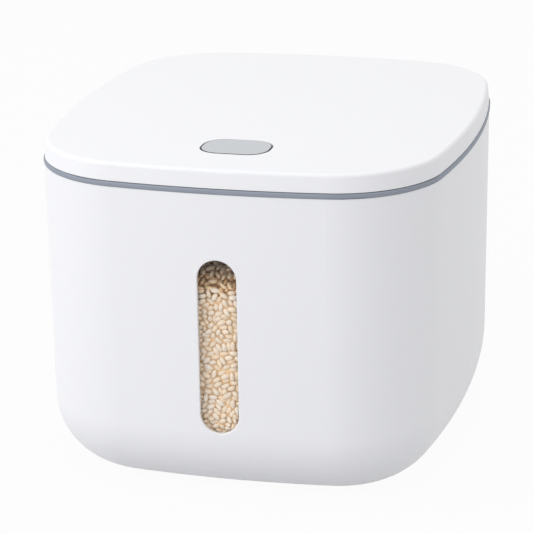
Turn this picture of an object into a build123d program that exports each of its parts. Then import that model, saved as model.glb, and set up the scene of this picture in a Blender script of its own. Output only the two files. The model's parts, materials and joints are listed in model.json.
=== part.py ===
"""Rice bucket with a sprung, press-to-open lid.

Millimetres. The origin is the middle of the standing face, +Z is up and the front faces -Y.
"""
from build123d import *
from math import cos, pi, sin, sqrt, tan, radians
import os

os.makedirs("parts", exist_ok=True)

# Bucket shell
body_width = 230.0       # across the rim, side to side
body_depth = 259.0       # across the rim, front to back
rim_height = 172.3       # standing face to the shoulder under the seal
bow_radius = 513.0       # of each wall, in plan
corner_radius = 58.5
base_radius = 39.0       # round between the walls and the base
wall = 2.8
wall_draft = 0.3         # degrees
foot_width = 7.0         # standing ring outside the groove under the base
groove_width = 3.0
groove_depth = 1.0
overrun = 1.0            # how far a cut runs past the face it starts from

# Seal on the rim
seal_height = 2.8
seal_proud = 0.5         # how far the band stands out of the wall
seal_edge = 0.9          # round along the band's outer edges
tongue_thickness = 1.0   # upstand inside the seal
tongue_height = 1.8
lip_reach = 0.7          # wiper lip, inwards from the inner wall

# Window in the front wall
window_width = 21.2
window_height = 97.0
window_centre = 88.0
pane_setback = 1.1       # from the front-most point of the wall to the pane's face
seat_depth = 2.6         # from the front-most point of the wall to the flange's seat
flange_margin = 5.0      # flange past the window's edge
flange_thickness = 1.6
pane_clearance = 0.1
window_edge = 0.5        # round along the opening's outer edge

# Lid cover
lid_gap = 0.4            # shadow gap over the seal
lid_height = 9.8
lid_setback = 0.2        # lid drawn in from the wall
lid_draft = 5.0          # degrees
lid_edge = 1.8
cover_wall = 2.2

# Lid liner
liner_wall = 2.0
liner_clearance = 0.3    # to the inside of the cover's skirt
liner_flange = 2.0
plug_clearance = 1.0     # to the inside of the bucket
plug_depth = 17.5
plug_draft = 3.0         # degrees

# Screws that hold the liner to the cover
screw_radius = 1.5
screw_length = 10.0
screw_head_radius = 2.8
screw_head_height = 2.2
screw_clearance = 0.3
screw_margin = 32.0      # from the bucket's box to the corner screws
side_screw_margin = 24.0
cup_depth = 4.0          # recess for the head, from the liner's underside
boss_radius = 3.6

# Button
button_length = 36.6
button_depth = 26.8
button_corner = 11.0     # radius in plan
button_inset = 45.3      # button's middle, back from the front of the bucket
button_gap = 0.9
button_proud = 0.2
button_edge = 0.6
button_wall = 1.8
button_cap = 2.2
button_skirt = 6.3       # from the button's top to its lower edge
button_flange = 2.0
button_travel = 3.2
collar_wall = 1.8
stop_gap = 0.3

# Latch: a slider with a nose that goes under a catch on the bucket
catch_width = 34.0
catch_reach = 4.2        # from the inner wall
catch_height = 3.3
catch_lip = 0.8          # upright part of the catch's tip
catch_drop = 0.8         # catch's top, down from the rim
catch_side_gap = 1.5
catch_front_gap = 2.8    # catch's tip to the liner
catch_top_gap = 2.0
nose_gap = 0.3           # nose under the catch
nose_width = 18.0
nose_setback = 1.5       # nose's tip to the inner wall
slider_width = 24.0
slider_thickness = 3.5
slider_rear = 63.5       # slider's rear end, back from the front of the bucket
slide_clearance = 0.3
wedge_width = 7.2
wedge_thickness = 8.0
wedge_overlap = 1.4      # height of wedge against ramp with the button up
wedge_gap = 0.15
slot_side_gap = 0.4
slot_front_gap = 6.0
rail_width = 2.0
guide_wall = 2.2

# Plate over the slider
retainer_thickness = 2.0
retainer_margin = 5.0    # plate past its screws
retainer_screw_spacing = 37.0
retainer_first_screw = 20.5
small_screw_radius = 1.25
small_screw_length = 6.0
small_head_radius = 2.4
small_head_height = 1.5
small_boss_radius = 3.0

# Spring behind the slider
latch_spring_length = 12.0
latch_spring_radius = 2.6    # to the middle of the wire
latch_wire = 0.8
latch_turns = 4
peg_length = 3.0
spring_clearance = 0.3
stop_wall = 2.0
stop_width = 12.0

# Hinge
hinge_offset = 5.6       # pin's axis, behind the rim
hinge_drop = 1.0         # pin's axis, under the cover's lower edge
knuckle_radius = 4.6
hinge_span = 76.0        # over the bucket's two ears
ear_width = 7.0
ear_foot = 24.0          # ear's lower end, down from the rim
ear_shoulder = 6.0       # ear's upper end on the wall, down from the rim
ear_embed = 2.5          # ear's root, in from the front-most point of the rear wall
arm_width = 9.0
arm_lift = 0.3           # arm's underside over the cover's lower edge
arm_embed = 1.9
hinge_gap = 0.4
pin_radius = 2.0
pin_fit = 0.08           # lid's knuckles on the pin
pin_head_radius = 3.5
pin_head = 1.5
pin_tail = 2.0           # pin past the clip
clip_radius = 3.6
clip_thickness = 0.8
clip_mouth = 2.6

# Torsion springs on the pin
hinge_wire = 1.2
hinge_coil_radius = 3.3  # to the middle of the wire
hinge_turns = 5
hinge_spring_start = 4.5 # first coil, out from the middle of the hinge
hinge_spring_end = 3.35  # last coil, in from the lid's knuckle
bucket_leg = 11.0
lid_leg = 5.0
shelf_thickness = 2.0
shelf_gap = 0.2
shelf_reach = 1.0        # shelf past the pin's axis
post_width = 18.0
post_height = 4.0
post_gusset = 10.0
post_cover = 2.5         # post past the spring's leg
post_hole_gap = 0.3
leg_end_gap = 0.6
points_per_turn = 60     # for measuring the gap between a spring's turns

# Heights and places that follow
half_width = body_width / 2
half_depth = body_depth / 2
seal_top = rim_height + seal_height
tongue_top = rim_height + tongue_height
cover_bottom = seal_top + lid_gap
lid_top = cover_bottom + lid_height
cover_ceiling = lid_top - cover_wall
shoulder = wall - tongue_thickness
plug_inset = wall + plug_clearance
liner_bottom = cover_bottom - plug_depth
liner_floor = liner_bottom + liner_wall
button_y = button_inset - half_depth
inner_front = wall - half_depth
catch_top = rim_height - catch_drop
catch_bottom = catch_top - catch_height
catch_tip = inner_front + catch_reach
alcove_face = catch_tip + catch_front_gap
alcove_back = alcove_face + liner_wall
slider_top = catch_bottom - nose_gap
slider_bottom = slider_top - slider_thickness
slider_front = alcove_back + slide_clearance
slider_end = slider_rear - half_depth
slider_middle = (slider_top + slider_bottom) / 2
retainer_bottom = slider_top + slide_clearance
retainer_top = retainer_bottom + retainer_thickness
button_top = lid_top + button_proud
flange_top = button_top - button_skirt + button_wall
wedge_tip = slider_top - wedge_overlap
wedge_rear = button_y + wedge_thickness / 2
ramp_foot = wedge_rear - (wedge_tip - slider_bottom) + wedge_gap * sqrt(2)
pin_y = half_depth + hinge_offset
pin_z = cover_bottom - hinge_drop
ear_inside = hinge_span / 2 - ear_width
arm_outside = ear_inside - hinge_gap
arm_inside = arm_outside - arm_width
leg_y = pin_y + hinge_coil_radius
hinge_spring_quarters = 4 * hinge_turns + 1
hinge_spring_length = arm_inside - hinge_spring_end - hinge_spring_start


def plan(inset, height):
    """Plan outline of the bucket, drawn in evenly: where four large circles overlap, with round corners."""
    with BuildSketch(Plane.XY.offset(height)) as outline:
        for turn, reach in ((0, half_width), (90, half_depth), (180, half_width), (270, half_depth)):
            turned = Location((0, 0, 0), (0, 0, turn))
            with Locations(turned * Location((reach - bow_radius, 0, 0), (0, 0, 180))):
                Circle(bow_radius - inset, mode=Mode.INTERSECT if turn else Mode.ADD)
        fillet(outline.vertices(), corner_radius - inset)
    return outline.sketch


def drafted(inset, height, rise, draft, mode=Mode.ADD):
    """Block with the plan's outline at a height, which draws in by the draft as it rises or goes down."""
    taken_in = abs(rise) * tan(radians(draft))
    loft([plan(inset, height), plan(inset + taken_in, height + rise)], ruled=True, mode=mode)


def pill(length, width, plane, centre, turn=0):
    """Straight-sided outline with half-round ends."""
    with BuildSketch(plane) as outline:
        with Locations(centre):
            SlotOverall(length, width, rotation=turn)
    return outline.sketch


def button_outline(margin, height):
    """Outline of the button, a rectangle with round corners, with a margin all round it."""
    size = (button_length + 2 * margin, button_depth + 2 * margin)
    with BuildSketch(Plane.XY.offset(height)) as outline:
        with Locations((0, button_y)):
            RectangleRounded(*size, button_corner + margin)
    return outline.sketch


def side_profile(points, at=0):
    """Closed outline in the Y-Z plane, at a place along X."""
    with BuildSketch(Plane.YZ.offset(at)) as outline:
        with BuildLine():
            Polyline(*points, close=True)
        make_face()
    return outline.sketch


def liner_screw_places():
    """Places in plan of the screws between liner and cover."""
    corner_span = (body_width - 2 * screw_margin, body_depth - 2 * screw_margin)
    side_span = body_width - 2 * side_screw_margin
    corners = GridLocations(*corner_span, 2, 2)
    sides = GridLocations(side_span, 0, 2, 1)
    return [place.position for place in (*corners, *sides)]


def retainer_screw_places():
    """Places in plan of the screws that hold the plate over the slider."""
    across = slider_width / 2 + slide_clearance + guide_wall / 2 + small_boss_radius
    first = retainer_first_screw - half_depth
    return [(side * across, y) for y in (first, first + retainer_screw_spacing) for side in (-1, 1)]


def biarc(start, start_way, end, end_way):
    """Two arcs that touch smoothly, from a start and its direction to an end and its direction."""
    chord = end - start
    spread = 2 * (1 - start_way.dot(end_way))
    along = chord.dot(start_way + end_way)
    arm = (sqrt(along**2 + spread * chord.dot(chord)) - along) / spread
    first = start + start_way * arm
    second = end - end_way * arm
    middle = (first + second) / 2
    TangentArc(start, middle, tangent=start_way)
    TangentArc(middle, end, tangent=second - first)


def own_gap(path, wire, turn_length):
    """Least clear distance between the turns of a spring, measured on points along its path."""
    length = sum(edge.length for edge in path.edges())
    steps = points_per_turn * round(length / turn_length)
    points = [path @ (i / steps) for i in range(steps + 1)]
    apart = points_per_turn // 2
    pairs = ((p, q) for i, p in enumerate(points) for q in points[i + apart:])
    return min((p - q).length for p, q in pairs) - wire


# Space inside the bucket, open at the top
with BuildPart() as inside:
    drafted(wall, rim_height, wall - rim_height, wall_draft)
    fillet(inside.edges().group_by(Axis.Z)[0], base_radius - wall)
    extrude(plan(wall, rim_height), amount=tongue_height + overrun)

# Bucket: drafted shell with a round base, tongue for the seal, window, catch and hinge ears
with BuildPart() as bucket:
    drafted(0, rim_height, -rim_height, wall_draft)
    fillet(bucket.edges().group_by(Axis.Z)[0], base_radius)
    extrude(plan(shoulder, rim_height), amount=tongue_height)
    add(inside.part, mode=Mode.SUBTRACT)
    groove_inset = base_radius + foot_width
    extrude(plan(groove_inset, 0), amount=groove_depth, mode=Mode.SUBTRACT)
    extrude(plan(groove_inset + groove_width, 0), amount=groove_depth)

    # Window opening, and the flat seat behind it for the pane's flange
    front_plane = Plane.XZ.offset(half_depth + overrun)
    seat_plane = Plane.XZ.offset(half_depth - seat_depth)
    window_place = (0, window_centre)
    seat_width = window_width + 2 * (flange_margin + pane_clearance)
    seat_height = window_height + 2 * (flange_margin + pane_clearance)
    opening = pill(window_height, window_width, front_plane, window_place, 90)
    extrude(opening, amount=-2 * (wall + overrun), mode=Mode.SUBTRACT)
    outer_edges = bucket.edges(Select.LAST).group_by(Axis.Y, tol_digits=0)[0]
    fillet(outer_edges, window_edge)
    seat = pill(seat_height, seat_width, seat_plane, window_place, 90)
    extrude(seat, amount=-(wall + overrun), mode=Mode.SUBTRACT)

    # Catch for the latch's nose, flat below and sloped above
    catch_root = -half_depth + wall / 2
    catch_points = [
        (catch_root, catch_bottom),
        (catch_tip, catch_bottom),
        (catch_tip, catch_bottom + catch_lip),
        (catch_tip - (catch_height - catch_lip), catch_top),
        (catch_root, catch_top),
    ]
    extrude(side_profile(catch_points), amount=catch_width / 2, both=True)

    # Hinge ears: a knuckle drawn down to a foot on the rear wall
    for side in (-1, 1):
        ear_middle = side * (hinge_span - ear_width) / 2
        with BuildSketch(Plane.YZ.offset(ear_middle)):
            with Locations((pin_y, pin_z)):
                Circle(knuckle_radius)
            with Locations((half_depth - ear_embed, rim_height - ear_foot)):
                Rectangle(wall / 2, ear_foot - ear_shoulder, align=(Align.MIN, Align.MIN))
            make_hull()
            with Locations((pin_y, pin_z)):
                Circle(pin_radius, mode=Mode.SUBTRACT)
        extrude(amount=ear_width / 2, both=True)

    # Post that the torsion springs' lower legs stand in
    post_top = pin_z - bucket_leg + post_height
    post_root = half_depth - ear_embed + wall / 2
    post_end = leg_y + post_cover
    post_points = [
        (post_root, post_top),
        (post_end, post_top),
        (post_end, post_top - post_height),
        (post_root, post_top - post_height - post_gusset),
    ]
    extrude(side_profile(post_points), amount=post_width / 2, both=True)
    with BuildSketch(Plane.XY.offset(post_top)):
        with Locations((-hinge_spring_start, leg_y), (hinge_spring_start, leg_y)):
            Circle(hinge_wire / 2 + post_hole_gap)
    extrude(amount=-(post_height + post_gusset), mode=Mode.SUBTRACT)
bucket.part.label = "bucket"
export_step(bucket.part, "parts/bucket.step")

# Seal: a band outside the tongue and a lip over it that wipes the liner's plug
with BuildPart() as rim_seal:
    extrude(plan(-seal_proud, rim_height), amount=seal_height)
    fillet(rim_seal.edges().filter_by(Plane.XY), seal_edge)
    extrude(plan(shoulder, rim_height), amount=tongue_height, mode=Mode.SUBTRACT)
    extrude(plan(wall + lip_reach, tongue_top), amount=seal_top - tongue_top, mode=Mode.SUBTRACT)
rim_seal.part.label = "rim_seal"
export_step(rim_seal.part, "parts/rim_seal.step")

# Pane: a clear face that fills the window and a flange on the seat behind it
with BuildPart() as window_pane:
    seat_plane = Plane.XZ.offset(half_depth - seat_depth)
    window_place = (0, window_centre)
    face_size = (window_height - 2 * pane_clearance, window_width - 2 * pane_clearance)
    flange_size = (window_height + 2 * flange_margin, window_width + 2 * flange_margin)
    extrude(pill(*face_size, seat_plane, window_place, 90), amount=seat_depth - pane_setback)
    extrude(pill(*flange_size, seat_plane, window_place, 90), amount=-flange_thickness)
window_pane.part.label = "window_pane"
export_step(window_pane.part, "parts/window_pane.step")

# Lid cover: shallow drafted shell with the button's opening, screw bosses and hinge knuckles
with BuildPart() as lid_cover:
    drafted(lid_setback, cover_bottom, lid_height, lid_draft)
    fillet(lid_cover.edges().group_by(Axis.Z)[-1], lid_edge)
    drafted(lid_setback + cover_wall, cover_bottom, lid_height - cover_wall, lid_draft, Mode.SUBTRACT)

    # Collar that guides the button, and the opening through it
    collar_depth = cover_ceiling - flange_top - stop_gap
    extrude(button_outline(button_gap + collar_wall, cover_ceiling), amount=-collar_depth)
    extrude(button_outline(button_gap, lid_top), amount=-(lid_height + overrun), mode=Mode.SUBTRACT)

    # Bosses down to the liner's screw cups
    boss_bottom = liner_bottom + cup_depth + liner_wall
    with BuildSketch(Plane.XY.offset(cover_ceiling)):
        with Locations(*liner_screw_places()):
            Circle(boss_radius)
    extrude(amount=boss_bottom - cover_ceiling)
    with BuildSketch(Plane.XY.offset(boss_bottom)):
        with Locations(*liner_screw_places()):
            Circle(screw_radius)
    extrude(amount=screw_length, mode=Mode.SUBTRACT)

    # Hinge arms with their knuckles, and the shelf that the springs push up
    arm_root = half_depth - arm_embed
    for side in (-1, 1):
        arm_middle = side * (arm_inside + arm_outside) / 2
        with BuildSketch(Plane.YZ.offset(arm_middle)):
            with Locations((arm_root, cover_bottom + arm_lift)):
                arm_height = pin_z + knuckle_radius - cover_bottom - arm_lift
                Rectangle(pin_y - arm_root, arm_height, align=(Align.MIN, Align.MIN))
            with Locations((pin_y, pin_z)):
                Circle(knuckle_radius)
                Circle(pin_radius + pin_fit, mode=Mode.SUBTRACT)
        extrude(amount=arm_width / 2, both=True)
    shelf_bottom = pin_z + hinge_coil_radius + hinge_wire / 2 + shelf_gap
    shelf_points = [
        (arm_root, shelf_bottom),
        (pin_y + shelf_reach, shelf_bottom),
        (pin_y + shelf_reach, shelf_bottom + shelf_thickness),
        (arm_root, shelf_bottom + shelf_thickness),
    ]
    extrude(side_profile(shelf_points), amount=arm_outside, both=True)
lid_cover.part.label = "lid_cover"
export_step(lid_cover.part, "parts/lid_cover.step")

# Lid liner: tapered plug that closes the lid from below and carries the latch
with BuildPart() as lid_liner:
    drafted(plug_inset, cover_bottom, -plug_depth, plug_draft)
    extrude(plan(lid_setback + cover_wall + liner_clearance, cover_bottom), amount=liner_flange)
    hollow_inset = plug_inset + liner_wall
    extrude(plan(hollow_inset, cover_bottom), amount=liner_flange + overrun, mode=Mode.SUBTRACT)
    drafted(hollow_inset, cover_bottom, liner_wall - plug_depth, plug_draft, Mode.SUBTRACT)

    # Alcove in the front that the catch comes into, and the nose's slot in its back
    alcove_width = catch_width + 2 * catch_side_gap
    alcove_top = catch_top + catch_top_gap
    alcove_front = plug_inset + liner_wall - half_depth
    block_depth = alcove_back - alcove_front
    with BuildSketch(Plane.XY.offset(liner_bottom)):
        with Locations((0, alcove_front)):
            Rectangle(alcove_width + 2 * liner_wall, block_depth, align=(Align.CENTER, Align.MIN))
    extrude(amount=alcove_top + liner_wall - liner_bottom)
    with BuildSketch(Plane.XY.offset(liner_bottom - overrun)):
        with Locations((0, alcove_face)):
            Rectangle(alcove_width, half_depth + alcove_face, align=(Align.CENTER, Align.MAX))
    extrude(amount=alcove_top - liner_bottom + overrun, mode=Mode.SUBTRACT)
    slot_bottom = slider_bottom - slide_clearance
    with BuildSketch(Plane.XY.offset(slot_bottom)):
        with Locations((0, alcove_face - overrun)):
            slot_width = nose_width + 2 * slot_side_gap
            Rectangle(slot_width, liner_wall + 2 * overrun, align=(Align.CENTER, Align.MIN))
    extrude(amount=retainer_bottom - slot_bottom, mode=Mode.SUBTRACT)

    # Rails under the slider, guides beside it and the wall behind its spring
    stop_face = slider_end + latch_spring_length
    guide_length = slider_end - alcove_back
    for side in (-1, 1):
        rail_x = side * (slider_width - rail_width) / 2
        guide_x = side * (slider_width / 2 + slide_clearance + guide_wall / 2)
        for x, width, top in ((rail_x, rail_width, slot_bottom), (guide_x, guide_wall, retainer_bottom)):
            with BuildSketch(Plane.XY.offset(liner_floor)):
                with Locations((x, alcove_back)):
                    Rectangle(width, guide_length, align=(Align.CENTER, Align.MIN))
            extrude(amount=top - liner_floor)
    with BuildSketch(Plane.XY.offset(liner_floor)):
        with Locations((0, stop_face)):
            Rectangle(stop_width, stop_wall, align=(Align.CENTER, Align.MIN))
    extrude(amount=retainer_bottom - liner_floor)

    # Bosses for the plate over the slider
    with BuildSketch(Plane.XY.offset(liner_floor)):
        with Locations(*retainer_screw_places()):
            Circle(small_boss_radius)
    extrude(amount=retainer_bottom - liner_floor)
    with BuildSketch(Plane.XY.offset(retainer_bottom)):
        with Locations(*retainer_screw_places()):
            Circle(small_screw_radius)
    extrude(amount=retainer_thickness - small_screw_length, mode=Mode.SUBTRACT)

    # Cups that sink the screw heads into the underside
    cup_radius = screw_head_radius + screw_clearance
    with BuildSketch(Plane.XY.offset(liner_bottom)):
        with Locations(*liner_screw_places()):
            Circle(cup_radius + liner_wall)
    extrude(amount=cup_depth + liner_wall)
    for radius, depth in ((cup_radius, cup_depth), (screw_radius + screw_clearance, cup_depth + liner_wall)):
        with BuildSketch(Plane.XY.offset(liner_bottom)):
            with Locations(*liner_screw_places()):
                Circle(radius)
        extrude(amount=depth, mode=Mode.SUBTRACT)
lid_liner.part.label = "lid_liner"
export_step(lid_liner.part, "parts/lid_liner.step")

# Screws up through the liner into the cover
with BuildPart() as liner_screws:
    head_seat = liner_bottom + cup_depth
    with BuildSketch(Plane.XY.offset(head_seat)):
        with Locations(*liner_screw_places()):
            Circle(screw_head_radius)
    extrude(amount=-screw_head_height)
    with BuildSketch(Plane.XY.offset(head_seat)):
        with Locations(*liner_screw_places()):
            Circle(screw_radius)
    extrude(amount=screw_length)
liner_screws.part.label = "liner_screws"
export_step(liner_screws.part, "parts/liner_screws.step")

# Button: a hollow cap with a stop flange round its foot and a wedge under its middle
with BuildPart() as release_button:
    button_foot = button_top - button_skirt
    extrude(button_outline(0, button_foot), amount=button_skirt)
    fillet(release_button.edges().group_by(Axis.Z)[-1], button_edge)
    extrude(button_outline(button_flange, button_foot), amount=button_wall)
    hollow = button_outline(-button_wall, button_foot)
    extrude(hollow, amount=button_skirt - button_cap, mode=Mode.SUBTRACT)
    wedge_front = wedge_rear - wedge_thickness
    wedge_back = button_y + (button_depth - button_wall) / 2
    cap_middle = button_top - button_cap / 2
    wedge_points = [
        (wedge_front, wedge_tip),
        (wedge_rear, wedge_tip),
        (wedge_back, wedge_tip + wedge_back - wedge_rear),
        (wedge_back, cap_middle),
        (wedge_front, cap_middle),
    ]
    extrude(side_profile(wedge_points), amount=wedge_width / 2, both=True)
release_button.part.label = "release_button"
export_step(release_button.part, "parts/release_button.step")

# Slider: a plate with a bevelled nose in front, a ramped slot for the wedge and a peg for the spring
with BuildPart() as latch_slider:
    with BuildSketch(Plane.XY.offset(slider_bottom)):
        with Locations((0, slider_front)):
            Rectangle(slider_width, slider_end - slider_front, align=(Align.CENTER, Align.MIN))
    extrude(amount=slider_thickness)
    nose_tip = inner_front + nose_setback
    nose_bevel = slider_thickness / 2
    nose_points = [
        (slider_front + nose_bevel, slider_bottom),
        (nose_tip + nose_bevel, slider_bottom),
        (nose_tip, slider_bottom + nose_bevel),
        (nose_tip, slider_top),
        (slider_front + nose_bevel, slider_top),
    ]
    extrude(side_profile(nose_points), amount=nose_width / 2, both=True)
    slot_front = wedge_rear - wedge_thickness - slot_front_gap
    slot_points = [
        (slot_front, slider_bottom),
        (ramp_foot, slider_bottom),
        (ramp_foot + slider_thickness, slider_top),
        (slot_front, slider_top),
    ]
    slot_half = wedge_width / 2 + slot_side_gap
    extrude(side_profile(slot_points), amount=slot_half, both=True, mode=Mode.SUBTRACT)
    peg_radius = latch_spring_radius - latch_wire / 2 - spring_clearance
    with BuildSketch(Plane.XZ.offset(-slider_end)):
        with Locations((0, slider_middle)):
            Circle(min(peg_radius, slider_thickness / 2))
    extrude(amount=-peg_length)
latch_slider.part.label = "latch_slider"
export_step(latch_slider.part, "parts/latch_slider.step")

# Plate that holds the slider down, open where the wedge comes through
with BuildPart() as latch_retainer:
    plate_half = retainer_screw_places()[-1][0] + small_boss_radius
    plate_front = retainer_first_screw - half_depth - retainer_margin
    plate_length = retainer_screw_spacing + 2 * retainer_margin
    with BuildSketch(Plane.XY.offset(retainer_bottom)):
        with Locations((0, plate_front)):
            Rectangle(2 * plate_half, plate_length, align=(Align.CENTER, Align.MIN))
    extrude(amount=retainer_thickness)
    fillet(latch_retainer.edges().filter_by(Axis.Z), small_boss_radius)
    wedge_way = wedge_rear + retainer_top - wedge_tip + button_travel + slot_side_gap
    wedge_from = wedge_rear - wedge_thickness - slot_side_gap
    with BuildSketch(Plane.XY.offset(retainer_bottom)):
        with Locations((0, wedge_from)):
            way_width = wedge_width + 2 * slot_side_gap
            Rectangle(way_width, wedge_way - wedge_from, align=(Align.CENTER, Align.MIN))
        with Locations(*retainer_screw_places()):
            Circle(small_screw_radius)
    extrude(amount=retainer_thickness, mode=Mode.SUBTRACT)
latch_retainer.part.label = "latch_retainer"
export_step(latch_retainer.part, "parts/latch_retainer.step")

# Screws down through that plate into the liner
with BuildPart() as retainer_screws:
    with BuildSketch(Plane.XY.offset(retainer_top)):
        with Locations(*retainer_screw_places()):
            Circle(small_head_radius)
    extrude(amount=small_head_height)
    with BuildSketch(Plane.XY.offset(retainer_top)):
        with Locations(*retainer_screw_places()):
            Circle(small_screw_radius)
    extrude(amount=-small_screw_length)
retainer_screws.part.label = "retainer_screws"
export_step(retainer_screws.part, "parts/retainer_screws.step")

# Spring between the slider and the wall behind it
with BuildPart() as latch_spring:
    lead = latch_wire
    coil_length = latch_spring_length - latch_wire - 2 * spring_clearance
    coil_start = slider_end + spring_clearance + latch_wire / 2
    with BuildLine() as latch_coil:
        rise = coil_length / (2 * pi * latch_turns)
        places = []
        for half_turn in range(2 * latch_turns + 1):
            angle = half_turn * pi
            spot = Vector(
                latch_spring_radius * cos(angle),
                coil_start + rise * angle,
                slider_middle + latch_spring_radius * sin(angle),
            )
            way = Vector(-latch_spring_radius * sin(angle), rise, latch_spring_radius * cos(angle))
            places.append((spot, way.normalized()))
        Line(places[0][0] - places[0][1] * lead, places[0][0])
        for (start, start_way), (end, end_way) in zip(places, places[1:]):
            biarc(start, start_way, end, end_way)
        Line(places[-1][0], places[-1][0] + places[-1][1] * lead)
    with BuildSketch(Plane(origin=latch_coil.line @ 0, z_dir=latch_coil.line % 0)):
        Circle(latch_wire / 2)
    sweep(path=latch_coil.line)
latch_spring.part.label = "latch_spring"
export_step(latch_spring.part, "parts/latch_spring.step")
latch_gap = own_gap(latch_coil.line, latch_wire, 2 * pi * latch_spring_radius)
print("latch spring, least gap between turns:", round(latch_gap, 2))

# Hinge pin with a head at one end
with BuildPart() as hinge_pin:
    pin_end = hinge_span / 2
    with BuildSketch(Plane.YZ.offset(-pin_end)):
        with Locations((pin_y, pin_z)):
            Circle(pin_radius)
    extrude(amount=hinge_span + clip_thickness + pin_tail)
    with BuildSketch(Plane.YZ.offset(-pin_end)):
        with Locations((pin_y, pin_z)):
            Circle(pin_head_radius)
    extrude(amount=-pin_head)
    fillet(hinge_pin.edges().group_by(Axis.X)[0], pin_head / 2)
    chamfer(hinge_pin.edges().group_by(Axis.X)[-1], pin_radius / 4)
hinge_pin.part.label = "hinge_pin"
export_step(hinge_pin.part, "parts/hinge_pin.step")

# Open clip pushed onto the pin's other end
with BuildPart() as pin_clip:
    with BuildSketch(Plane.YZ.offset(hinge_span / 2)):
        with Locations((pin_y, pin_z)):
            Circle(clip_radius)
            Circle(pin_radius, mode=Mode.SUBTRACT)
            Rectangle(clip_mouth, clip_radius, align=(Align.CENTER, Align.MAX), mode=Mode.SUBTRACT)
    extrude(amount=clip_thickness)
pin_clip.part.label = "pin_clip"
export_step(pin_clip.part, "parts/pin_clip.step")

# Torsion springs: one leg stands in the bucket's post, the other lies under the lid's shelf
for name, side in (("hinge_spring_left", -1), ("hinge_spring_right", 1)):
    with BuildPart() as hinge_spring:
        with BuildLine() as hinge_coil:
            last_angle = hinge_spring_quarters * pi / 2
            rise = hinge_spring_length / last_angle
            places = []
            for angle in (*(half_turn * pi for half_turn in range(2 * hinge_turns + 1)), last_angle):
                spot = Vector(
                    side * (hinge_spring_start + rise * angle),
                    pin_y + hinge_coil_radius * cos(angle),
                    pin_z + hinge_coil_radius * sin(angle),
                )
                way = Vector(side * rise, -hinge_coil_radius * sin(angle), hinge_coil_radius * cos(angle))
                places.append((spot, way.normalized()))
            places[0] = (places[0][0], Vector(0, 0, 1))
            places[-1] = (places[-1][0], Vector(0, -1, 0))
            Line(places[0][0] - places[0][1] * (bucket_leg - leg_end_gap), places[0][0])
            for (start, start_way), (end, end_way) in zip(places, places[1:]):
                biarc(start, start_way, end, end_way)
            Line(places[-1][0], places[-1][0] + places[-1][1] * lid_leg)
        with BuildSketch(Plane(origin=hinge_coil.line @ 0, z_dir=hinge_coil.line % 0)):
            Circle(hinge_wire / 2)
        sweep(path=hinge_coil.line)
    hinge_spring.part.label = name
    export_step(hinge_spring.part, f"parts/{name}.step")
    hinge_spring_gap = own_gap(hinge_coil.line, hinge_wire, 2 * pi * hinge_coil_radius)
    print(name, "least gap between turns:", round(hinge_spring_gap, 2))
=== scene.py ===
"""Rice bucket: finishes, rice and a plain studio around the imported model.

Lengths are metres in the model's own frame: +Z is up, the front faces -Y and the origin is the middle of
the standing face.
"""

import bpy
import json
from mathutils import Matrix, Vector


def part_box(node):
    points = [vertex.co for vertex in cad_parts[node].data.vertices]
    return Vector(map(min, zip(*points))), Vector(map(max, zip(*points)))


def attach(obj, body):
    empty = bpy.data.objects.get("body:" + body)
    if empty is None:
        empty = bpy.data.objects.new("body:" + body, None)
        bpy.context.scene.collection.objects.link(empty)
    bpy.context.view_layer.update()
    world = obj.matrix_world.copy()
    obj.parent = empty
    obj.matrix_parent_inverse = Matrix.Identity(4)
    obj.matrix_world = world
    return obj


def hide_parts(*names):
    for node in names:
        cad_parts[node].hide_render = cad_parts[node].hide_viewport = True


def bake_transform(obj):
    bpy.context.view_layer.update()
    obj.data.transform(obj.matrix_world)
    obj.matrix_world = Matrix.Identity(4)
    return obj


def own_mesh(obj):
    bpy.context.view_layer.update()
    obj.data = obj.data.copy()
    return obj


bl_info = {
    "name": "Rice bucket",
    "version": (1, 0, 0),
    "blender": (4, 5, 0),
    "location": "View3D > Sidebar > Rice bucket",
    "description": "Finishes, rice and a studio for a rice bucket with a press-to-open lid",
    "category": "Object",
}

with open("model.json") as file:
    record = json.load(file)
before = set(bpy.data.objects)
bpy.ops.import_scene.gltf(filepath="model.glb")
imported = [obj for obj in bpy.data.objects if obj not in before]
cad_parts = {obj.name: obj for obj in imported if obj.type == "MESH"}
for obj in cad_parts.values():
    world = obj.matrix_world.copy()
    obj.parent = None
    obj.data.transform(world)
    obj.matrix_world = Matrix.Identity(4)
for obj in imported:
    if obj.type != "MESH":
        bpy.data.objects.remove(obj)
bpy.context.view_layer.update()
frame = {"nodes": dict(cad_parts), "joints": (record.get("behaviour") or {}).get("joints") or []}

import json
from math import cos, pi, radians, sin, tan

import bpy
import numpy as np
from bpy.props import FloatProperty, FloatVectorProperty, IntProperty, PointerProperty
from mathutils import Matrix, Vector

MM = 0.001
TINY = 1e-9
UPRIGHT = Vector((0, 0, 1))

# Frame of the photograph, and the camera's sensor in millimetres
FRAME_PIXELS = 533
SENSOR = 36.0

# Plan of the bucket: four bowed walls with round corners
HALF_WIDTH = 115.0 * MM
HALF_DEPTH = 129.5 * MM
BOW_RADIUS = 513.0 * MM
CORNER_RADIUS = 58.5 * MM
WALL = 2.8 * MM
BASE_RADIUS = 39.0 * MM
HALVINGS = 40

# Painted light on the button: a painted highlight along its top edge, and painted shade down in the gap.
# The drops below its top, in millimetres, at which each begins and is full
PAINTED_EDGE_HIGHLIGHT = (1 / 120, 1 / 40)
PAINTED_GAP_SHADE = (0.08, 0.1425)

# Springs
HINGE_COIL = 3.3 * MM
HINGE_WIRE = 1.2 * MM
HINGE_TURNS = 5.25
LID_LEG = 5.0 * MM
LATCH_COIL = 2.6 * MM
LATCH_WIRE = 0.8 * MM
LATCH_TURNS = 4
NO_LEG = (0, 0, 0)
WIRE_SIDES = 10
TURN_STEPS = 18
COIL_SMOOTHING = radians(50)

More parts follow.
